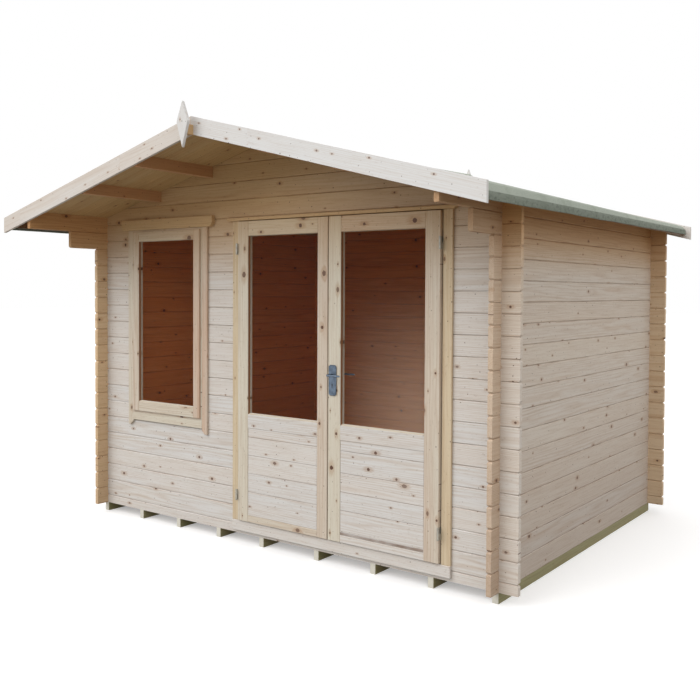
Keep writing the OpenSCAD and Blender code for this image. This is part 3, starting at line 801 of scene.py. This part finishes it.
trim_x, trim_y, trim_z = millimetres("window_trim")
wood = Boards()
FOOT, TOE = 37.0, 22.0
low, high = trim_z
for toe, inner, way in ((trim_x[0], rim_x[0], 1), (trim_x[1], rim_x[1], -1)):
    rise = min(TOE + FOOT, abs(inner - toe)) - TOE
    points = [(toe, low), (toe + TOE * way, low), (inner, low + rise), (inner, high), (toe, high)]
    flat = np.array([(z, -x) for x, z in points[::way]]) / 1000
    centre = flat.mean(0)
    middle = metres(-centre[1] * 1000, trim_y.mean(), centre[0] * 1000)
    thick = (trim_y[1] - trim_y[0]) / 1000
    wood.slab(middle, (0, 0, 1), (-1, 0, 0), flat - centre, thick, 0.002)
wood.bar(rim_x, trim_y, (trim_z[0] + FOOT, rim_z[0]), "x", 2.0, 0.06)
wood.make("window_surround", JOINERY_WOOD, "window_trim")
print("window")

# %% [markdown]
# ## Roof
# The boards run down the slope and show their V joints from below. Felt lies
# on them in two strips and a ridge strip, each lapping over the one below, and
# is folded down over the eave and turned up against the bargeboards.

# %% Roof boards and felt
SIDES = (("left", -1), ("right", 1))
ROWS, BOARD_THICK, FROM_RIDGE = 30, 0.016, 0.0042


def slope(sign):
    """Three directions on a roof slope: down it, along the eave and out of it."""
    down, along = np.array([sign * COS, 0, -SIN]), np.array([0.0, sign, 0.0])
    return down, along, np.cross(down, along)


step_y = (ROOF_BACK - ROOF_FRONT) / ROWS
for side, sign in SIDES:
    wood = Boards()
    along, across, up_roof = slope(sign)
    length = EAVE / COS - BOARD_THICK / 2
    for row in range(ROWS):
        middle = np.array([0, ROOF_FRONT + (row + 0.5) * step_y, RIDGE])
        middle = middle + along * (length / 2 + FROM_RIDGE) - up_roof * BOARD_THICK / 2
        wood.board(middle, along, across, length, step_y, BOARD_THICK, 0.0018)
    wood.make(f"roof_boarding_{side}", ROOF_WOOD, f"roof_boards_{side}", slot="roof_timber")

BULGE, SWELL, SAG, SWELL_FROM = 0.015, 0.013, 0.012, 1.3
FELT_TOP, LAP = 0.0031 / COS, 0.0022
UPSTAND_FRONT, UPSTAND_REAR = 0.010, 0.005


def from_rear(y):
    """The share of the roof's depth, from 0 at the rear to 1 at the front."""
    return (ROOF_BACK - y) / (ROOF_BACK - ROOF_FRONT)


def roof_top(x):
    """The height of the felt's upper face on the slope, x metres from the ridge."""
    return RIDGE + FELT_TOP - x * SIN / COS


f = Finish("mineral_felt")
x, y, z = f.place()
grit = f.noise(x, y, z, scale=420.0, rough=0.7)
blotch = f.step(f.noise(x, y * 0.6, z, scale=2.2, detail=3.0), 0.35, 0.7)
colour = f.mix(blotch, srgb(150, 157, 145), srgb(160, 166, 153))
colour = f.mix(f.step(grit, 0.42, 0.66) * 0.55, colour, srgb(192, 197, 184))
colour = f.tint(colour, (1.0 - f.step(grit, 0.28, 0.42)) * 0.6, 110, 116, 108)
# Painted shade: the upright flap over the eave is made darker than the felt on the slope; its
# mottled stain is the felt's own.
on_flap = x.abs() > FELT_EDGE - 0.0026 + BULGE * from_rear(y)
colour = f.tint(colour, on_flap, 196, 198, 194)
stain = f.step(f.noise(x, y * 30.0, z * 60.0, detail=3.0, rough=0.7), 0.48, 0.72)
colour = f.tint(colour, on_flap * stain * 0.6, 140, 146, 138)
# Painted shadow: a dark line along the edge of each lap.
for lap in (0.1495, 0.9055):
    line = 1.0 - f.step((x.abs() - lap).abs(), 0.0015, 0.004)
    colour = f.tint(colour, line * 0.85, 96, 100, 96)
streak = f.step(f.noise(x * 0.8, y * 9.0, z, detail=3.0), 0.5, 0.75)
colour = f.tint(colour, streak * 0.35, 196, 200, 190)
FELT = f.end(base_color=colour, roughness=0.9, normal=f.bump(grit, 0.0008))


def felt_piece(side, sign):
    """The felt of one slope as a sheet that is carried from front to back.

    Profile q(s): from the ridge down the slope, over the rounded eave and
    down the flap. P(s, t) = q(s) + h(t) n(s), where h rises to the upstand's
    height at both ends. Towards the front the loose sheet also lifts off the
    boards, and its fold bulges out and hangs lower.
    """
    edge, flap = FELT_EDGE, box("roof_felt_right")[0][2]
    short = 0.009 if side == "right" else 0.003
    runs = [0.0, 0.05, 0.145, 0.150, 0.152, 0.5, 0.900, 0.905, 0.907, SWELL_FROM, 1.45, 1.6, 1.75]
    lift = [2, 2, 2, 2, 1, 1, 1, 1, 0, 0, 0, 0, 0]
    flat = [(x, roof_top(x) + h * LAP) for x, h in zip(runs, lift)]
    backs = (0.030, 0.024, 0.018, 0.004, 0.0012, 0.0)
    drops = (0.0, 0.0012, 0.0040, 0.0172, 0.0210, 0.0250)
    bend = [(edge - back, roof_top(edge - back) - drop) for back, drop in zip(backs, drops)]
    down = [(edge, z) for z in np.linspace(bend[-1][1], flap, 5)[1:]]
    profile = np.array(flat + bend + down)
    tangent = unit(np.gradient(profile, axis=0))
    normal = np.stack([-tangent[:, 1], tangent[:, 0]], 1)
    normal[: len(flat)] = (SIN, COS)
    stand = np.clip((edge - backs[0] - profile[:, 0]) / 0.02, 0, 1)
    inner = np.linspace(ROOF_FRONT + 0.02, ROOF_BACK - 0.02, 40)
    ends = np.array([0.0012, 0.0012, 0.0016, 0.004, 0.009])
    lifts = np.array([1.0, 0.35, 0.17, 0.034, 0.0])
    t_y = np.concatenate([ROOF_FRONT + ends, inner, (ROOF_BACK - ends)[::-1]])
    t_h = np.concatenate([lifts * UPSTAND_FRONT, np.zeros(40), lifts[::-1] * UPSTAND_REAR])
    ripple = 0.0006 * np.sin(t_y * 9.0 + sign) * np.sin(t_y * 23.0)
    grid_x = profile[:, None, 0] + normal[:, None, 0] * t_h * stand[:, None]
    height = t_h * stand[:, None]
    grid_z = profile[:, None, 1] + normal[:, None, 1] * (height - np.abs(ripple) * 0.5)
    hang = np.clip((profile[len(flat + bend) - 1, 1] - profile[:, 1]) / 0.038, 0, 1)
    to_front = from_rear(t_y)
    to_rear = 1 - to_front
    # The share of the loose sheet's lift, sag and bulge that each of the
    # profile's points gets, from the end of the slope to the flap's lower edge.
    shares = np.zeros((3, len(profile), 1))
    shares[0, : len(flat)] = 1.0
    shares[:, len(flat) :, 0] = [
        [1.0, 1.0, 0.9, 0.45, 0.2, 0.0, 0.0, 0.0, 0.0, 0.0],
        [0.0, 0.05, 0.15, 0.75, 0.95, 1.0, 1.0, 0.83, 0.67, 0.5],
        [0.0, 0.0, 0.4, 0.8, 0.97, 1.0, 1.0, 1.0, 1.0, 1.0],
    ]
    lifted, sagged, bulged = shares * to_front
    raised = SWELL * lifted * np.clip((profile[:, :1] - SWELL_FROM) / 0.45, 0, 1)
    grid_x = grid_x + raised * SIN + bulged * BULGE
    grid_z = grid_z + raised * COS - sagged * 2 * SAG
    wave = 0.0015 * np.sin(t_y * 7.0) + 0.001 * np.sin(t_y * 19.0)
    grid_z = grid_z + hang[:, None] * (short * to_rear + wave * to_rear * to_front * 4)
    grid_y = np.broadcast_to(t_y, grid_x.shape)
    points = np.stack([sign * grid_x, grid_y, grid_z], -1).reshape(-1, 3)
    quads = faces_between(*grid_x.shape, closed=False)
    quads = quads[:, [1, 2, 3, 0] if sign > 0 else [0, 3, 2, 1]]
    mesh = mesh_of(f"felt_{side}", points.tolist(), quads.tolist(), 14)
    piece = settle(mesh, f"felt_{side}", "cabin", FELT, (f"roof_felt_{side}",))
    solid = piece.modifiers.new("thickness", "SOLIDIFY")
    solid.thickness, solid.offset = 0.0022, -1.0


for side, sign in SIDES:
    felt_piece(side, sign)
print("roof boards and felt")

# %% [markdown]
# ## Bargeboards and finials
# The near-white boards that close the roof's ends are joined from shorter
# pieces with glued finger joints, so each part has its own tone.

# %% Bargeboards
TEETH, TOOTH = 15, 0.005


def finger_joint(x, far):
    """The line of points from a board's lower to its upper edge, zigzag inside it."""
    if x in (0.0, far):
        return np.array([[x, 0.0], [x, 1.0]])
    zigzag = np.where(np.arange(TEETH) % 2 == 0, -TOOTH, TOOTH)
    return np.stack([x + zigzag, np.linspace(0, 1, TEETH)], 1)


def barge(side, end, sign, splits, tones):
    """One bargeboard of finger jointed parts. Its outline follows the slope."""
    node = f"bargeboard_{end}_{side}"
    low, high = box(node)
    far = max(abs(low[0]), abs(high[0]))
    plumb = high[2] - low[2] - far * SIN / COS
    stops = [0.0, *splits, far]
    wood = Boards()
    for a, b, tone in zip(stops[:-1], stops[1:], tones):
        flat = np.concatenate([finger_joint(b, far), finger_joint(a, far)[::-1]])
        z = high[2] - flat[:, 0] * SIN / COS - (1 - flat[:, 1]) * plumb
        along, _, up_roof = slope(sign)
        points = np.stack([sign * flat[:, 0], z], 1)
        centre = points.mean(0)
        outline = (points - centre) @ np.stack([along[::2], up_roof[::2]], 1)
        middle = np.array([centre[0], (low[1] + high[1]) / 2, centre[1]])
        wood.slab(middle, along, up_roof, outline, high[1] - low[1], 0.0005, tone)
    wood.make(f"barge_{end}_{side}", WHITE_WOOD, node, slot="barge_timber")


barge("left", "front", -1, (0.62, 1.66), (0.86, 0.74, 0.93))
barge("right", "front", 1, (0.43, 1.12), (0.12, 0.02, 0.18))
barge("left", "rear", -1, (0.9,), (0.4, 0.2))
barge("right", "rear", 1, (1.2,), (0.3, 0.55))

WAIST_DOWN, DIAMOND_THICK, SHY_OF_BOX = 0.110, 0.0184, 0.0006
BLOCK = ((-20, 20), (-670, -624), (2390.6, 2444.6))
for end in ("front", "rear"):
    low, high = box("finial_" + end)
    inset = DIAMOND_THICK / 2 + SHY_OF_BOX
    y_mid = low[1] + inset if end == "front" else high[1] - inset
    half = high[0]
    waist = high[2] - WAIST_DOWN
    outline = [(low[2] - waist, 0), (0, -half), (high[2] - waist, 0), (0, half)]
    wood = Boards()
    middle = np.array([0, y_mid, waist])
    wood.slab(middle, (0, 0, 1), (-1, 0, 0), outline, DIAMOND_THICK, 0.0012, 0.1)
    wood.make("diamond_" + end, WHITE_WOOD, "finial_" + end, slot="barge_timber")
    if end == "front":
        wood = Boards()
        wood.bar(*BLOCK, "z", 1.0)
        wood.make("diamond_block", JOINERY_WOOD, slot="barge_timber")
print("bargeboards and finials")

# %% [markdown]
# ## Base
# Nine treated bearers carry the cabin. Floorboards lie across.

# %% Bearers, floor, purlins and battens
BEARER_HALF = 19
bearer_y, bearer_z = millimetres("bearers")[1:]
GREEN_WOOD = timber(
    "treated_wood", GREEN, many=0.3, end=1.1695, deep=0.001, knots=CELLS, size=LARGE_KNOT
)
BEARERS_AT = (-1, -0.757, -0.517, -0.275, -0.035, 0.245, 0.508, 0.752, 1)
wood = Boards()
for share in BEARERS_AT:
    x = share * (HALF_W * 1000 - BEARER_HALF)
    wood.bar((x - BEARER_HALF, x + BEARER_HALF), bearer_y, bearer_z, "y", 2.0)
wood.make("bearer_bars", GREEN_WOOD, "bearers", slot="treated_timber")

floor_x, floor_y, floor_z = millimetres("floor")
wood = Boards()
rows = np.linspace(*floor_y, 23)
for a, b in zip(rows[:-1], rows[1:]):
    wood.bar(floor_x, (a, b), floor_z, "x", 1.2)
wood.make("floorboards", FLOOR_WOOD, "floor", slot="floor_timber")


def rail_finish(name, colours):
    """Softwood on members that run from front to back. Each side has its own tone."""
    f = Finish(name)
    x, y, z = f.place()
    colour, rough, bump = softwood(f, y, z, x, f.chance((x * 3.0).floor()), pale=colours)
    return f.end(base_color=colour, roughness=rough, normal=f.bump(bump, GRAIN_DEEP))


dress(rail_finish("purlin_wood", RAIL), "purlins_left", "purlins_right")
dress(rail_finish("batten_wood", BATTEN), "eave_batten_left", "eave_batten_right")
print("base and rails")

# %% [markdown]
# ## Glass and metal
# A pane is almost clear, with a faint mirror and a painted patch of warm
# light low down on its right. Hinges are zinc plated steel, and the handle set
# has a blue grey satin finish with a little wear.

# %% Glass and metal
glass = Finish("pane_glass")
x, y, z = glass.place()
# Painted light: the pane grows a little opaque and warm low down on its right, which lightens the
# view through it there.
painted_light_patch = glass.step(x, 0.45, 1.15) * (1.0 - glass.step(z, 0.85, 1.75))
painted_light_patch = painted_light_patch * (0.8 + 0.4 * glass.noise(x, y, z, scale=3.0, detail=3.0))
glass.end(base_color=(0.66, 0.50, 0.37, 1), roughness=0.02, alpha=0.012 + 0.13 * painted_light_patch)
dress(glass.material, "window_glass", "left_leaf_glass", "right_leaf_glass")


def metal(name, first, second, rough, metallic):
    """Satin metal with faint brushing and slightly worn patches."""
    f = Finish(name)
    x, y, z = f.place()
    cloud = f.noise(x, y, z, scale=60.0, detail=3.0)
    brush = f.noise(x * 900.0, y * 900.0, z * 60.0, detail=1.0)
    return f.end(
        metallic=metallic,
        base_color=f.mix(f.step(cloud, 0.3, 0.7), first, second),
        roughness=rough + 0.12 * brush,
        normal=f.bump(brush, 0.00005),
    )


ZINC = metal("zinc_steel", srgb(176, 172, 160), srgb(152, 148, 138), 0.42, 0.35)
SATIN = metal("satin_handle", srgb(98, 112, 128), srgb(76, 88, 102), 0.34, 0.65)
NAIL = metal("galvanised_nail", srgb(128, 130, 128), srgb(100, 102, 100), 0.5, 0.6)
dress(ZINC, "left_jamb_hinges", "left_leaf_hinges", "right_jamb_hinges", "right_leaf_hinges")
print("glass and metal")

# %% [markdown]
# ## Felt nails
# Each lap of the felt is held by a row of flat headed nails. They could be
# round caps, but a flat disc of eight sides is all that shows.

# %% Felt nails


def disc(radius, sides):
    """The corners of a regular outline, counter-clockwise."""
    turn = np.linspace(0, 2 * math.pi, sides, endpoint=False)
    return np.stack([np.cos(turn), np.sin(turn)], 1) * radius


NAIL_GAP = 0.075
for side, sign in SIDES:
    nails = Boards()
    along, across, _ = slope(sign)
    for down, lift in ((0.130, 2), (0.885, 1)):
        height = roof_top(down) + lift * LAP + 0.0002
        for y in np.arange(ROOF_FRONT + 0.05, ROOF_BACK - 0.03, NAIL_GAP):
            middle = np.array([sign * down, y + 0.004 * math.sin(y * 40), height])
            nails.slab(middle, along, across, disc(0.0042, 8), 0.0014, 0.0004)
    nails.make(f"felt_nails_{side}", NAIL, slot="hinge_steel")
print("felt nails")

# %% [markdown]
# ## Handle, hinge caps and screws
# The lever is a round neck that bends into a flatter, tapering grip. It could
# be a bevelled curve, but a section carried along points gives a true oval
# that changes along the way. Screws and collars are the same shape with a
# straight path, and the hinges' caps are flat discs.

# %% Handle, caps and screws
TURNED = [0, 3, 2, 1]


def carry(parts, path, radii, around=20):
    """Adds an oval section carried along a path in a level plane.

    P(i, k) = C_i + a_i cos(2 pi k / n) (T_i x Z) + b_i sin(2 pi k / n) Z, with
    C_i the path's points, T_i its direction, and a_i, b_i the half sizes.
    """
    path, radii = np.array(path, float), np.array(radii, float)
    upward = np.array([0.0, 0.0, 1.0])
    side = np.cross(unit(np.gradient(path, axis=0)), upward)
    turn = np.linspace(0, 2 * math.pi, around, endpoint=False)
    wide, high = radii.T[:, :, None] * np.array([np.cos(turn), np.sin(turn)])[:, None]
    ring = path[:, None] + wide[..., None] * side[:, None] + high[..., None] * upward
    first = sum(len(points) for points, _ in parts)
    k, last = np.arange(around), (len(path) - 1) * around
    faces = (faces_between(len(path), around)[:, TURNED] + first).tolist()
    faces += [(first + k).tolist(), (first + last + k[::-1]).tolist()]
    parts.append((ring.reshape(-1, 3), faces))


def turned(parts, foot, outward, depths, radii, around=20):
    """A round part on a foot at the front or rear: a radius at each depth, in mm."""
    path = [foot + [0, outward * depth / 1000, 0] for depth in depths]
    carry(parts, path, [(radius / 1000,) * 2 for radius in radii], around)


def carried(name, parts, body, slot, material, *nodes):
    """Turns carried sections into one smooth piece."""
    points = np.concatenate([points for points, _ in parts])
    faces = [face for _, faces in parts for face in faces]
    mesh = mesh_of(name, points.tolist(), faces, 38)
    return settle(mesh, name, body, material, nodes)


plates = millimetres("handle_plates")
lever = millimetres("door_lever")
AXIS_X, AXIS_Z = plates[0].mean(), lever[2].mean()
PLATE_THICK, CORNER, BEND = 8, 10, 9.0
PLATE_SIDES = ((plates[1][0], -1), (plates[1][1], 1))
quarter = np.linspace(0, math.pi / 2, 6)
radii = [(8, 8), (7.9, 7.9), (7, 7)] + [(6.4, 6.8)] * 6
radii += [(5.6, 6.4), (5.2, 6.2), (4.9, 6.0), (4.6, 5.6), (4.1, 4.8), (2.7, 3.2), (0.8, 1.0)]
arms = []
for (y_face, outward), y_tip in zip(PLATE_SIDES, lever[1]):
    arm_y = y_tip - outward * 6
    neck = [(AXIS_X, y_face + outward * d) for d in (-9, 4, 20)]
    sweep = [
        (AXIS_X + BEND - BEND * math.cos(a), arm_y - outward * (BEND - BEND * math.sin(a)))
        for a in quarter
    ]
    grip = [(AXIS_X + d, arm_y) for d in (24, 42, 64, 83, 90, 94, 95.6)]
    carry(arms, [metres(x, y, AXIS_Z) for x, y in neck + sweep + grip], np.array(radii) / 1000)
spindle = [metres(AXIS_X, y, AXIS_Z) for y in (plates[1][0] + 2, plates[1][1] - 2)]
carry(arms, spindle, [(0.005, 0.005)] * 2)
carried("lever_handle", arms, "lever", "handle_metal", SATIN, "door_lever")

wood = Boards()
a, b = (plates[2][1] - plates[2][0]) / 2, (plates[0][1] - plates[0][0]) / 2
corners = [(-b, CORNER - a), (CORNER - b, -a), (b - CORNER, -a), (b, CORNER - a)]
outline = np.array(corners + [(-x, -z) for x, z in corners]) / 1000
for y_face, outward in PLATE_SIDES:
    middle = metres(AXIS_X, y_face - outward * PLATE_THICK / 2, plates[2].mean())
    wood.slab(middle, *FACING, outline, PLATE_THICK / 1000, 0.0026, 0.5)
wood.make("plate_pair", SATIN, "handle_plates", slot="handle_metal", body="right_door")

# Painted shade: the keyhole and the screws' slots are thin dark pieces that stand for the shade
# inside these holes.
SLOT_SHADE = metal("painted_slot_shade", srgb(26, 26, 28), srgb(16, 16, 18), 0.6, 0.2)
KEY_Z = AXIS_Z - 64
SCREW_IN = 14
a = np.linspace(-1.1, math.pi + 1.1, 17)
keyhole = np.stack([5.0 * np.cos(a), 5.0 * np.sin(a) + 6], 1)
keyhole = np.concatenate([[(2.4, -11)], keyhole, [(-2.4, -11)]]) / 1000
rings, hole_shades = [], Boards()
for y_face, outward in PLATE_SIDES:
    foot, in_out = metres(AXIS_X, y_face, AXIS_Z), (-1, 0.6, 1.6, 2.0)
    turned(rings, foot, outward, in_out, (12.5, 12.5, 11.6, 10.2), 32)
    for z in (plates[2][0] + SCREW_IN, plates[2][1] - SCREW_IN):
        foot = metres(AXIS_X, y_face, z)
        turned(rings, foot, outward, (-0.6, 0.2, 0.9, 1.2), (4, 4, 3.2, 1.6))
        slot_y = sorted((y_face + outward * 0.9, y_face + outward * 1.35))
        hole_shades.bar((AXIS_X - 2.6, AXIS_X + 2.6), slot_y, (z - 0.45, z + 0.45), "x", 0.05)
    middle = metres(AXIS_X, y_face + outward * 0.05, KEY_Z)
    hole_shades.slab(middle, *FACING, keyhole, 0.0006, 0.0001)
carried("plate_collars", rings, "right_door", "handle_metal", SATIN)
hole_shades.make("keyhole_and_slot_shades", SLOT_SHADE, slot="handle_metal", body="right_door")

KNUCKLE, PIN_Y, CAP_OUT = 66, 6.5, 0.9
for side, axis_x in (("left", -230.5), ("right", 1258.5)):
    jamb, leaf_half = millimetres(side + "_jamb_hinges"), millimetres(side + "_leaf_hinges")
    y = leaf_half[1][0] + PIN_Y
    for name, body, z_ends, out in (
        ("lower", "cabin", (jamb[2][0], leaf_half[2][1] - KNUCKLE), -CAP_OUT),
        ("upper", side + "_door", (jamb[2][0] + KNUCKLE, leaf_half[2][1]), CAP_OUT),
    ):
        caps = Boards()
        for z in z_ends:
            middle = metres(axis_x, y, z + out)
            caps.slab(middle, (1, 0, 0), (0, 1, 0), disc(0.005, 16), 0.0018, 0.0007)
        caps.make(f"{side}_hinge_{name}_caps", ZINC, slot="hinge_steel", body=body)

screw = []
low, high = box("finial_front")
foot = np.array([0, low[1], high[2] - WAIST_DOWN])
turned(screw, foot, 1, (2, 0.6, 0.2), (4.5, 4.5, 3.6))
carried("finial_screw", screw, "cabin", "hinge_steel", ZINC)
print("handle, caps and screws")
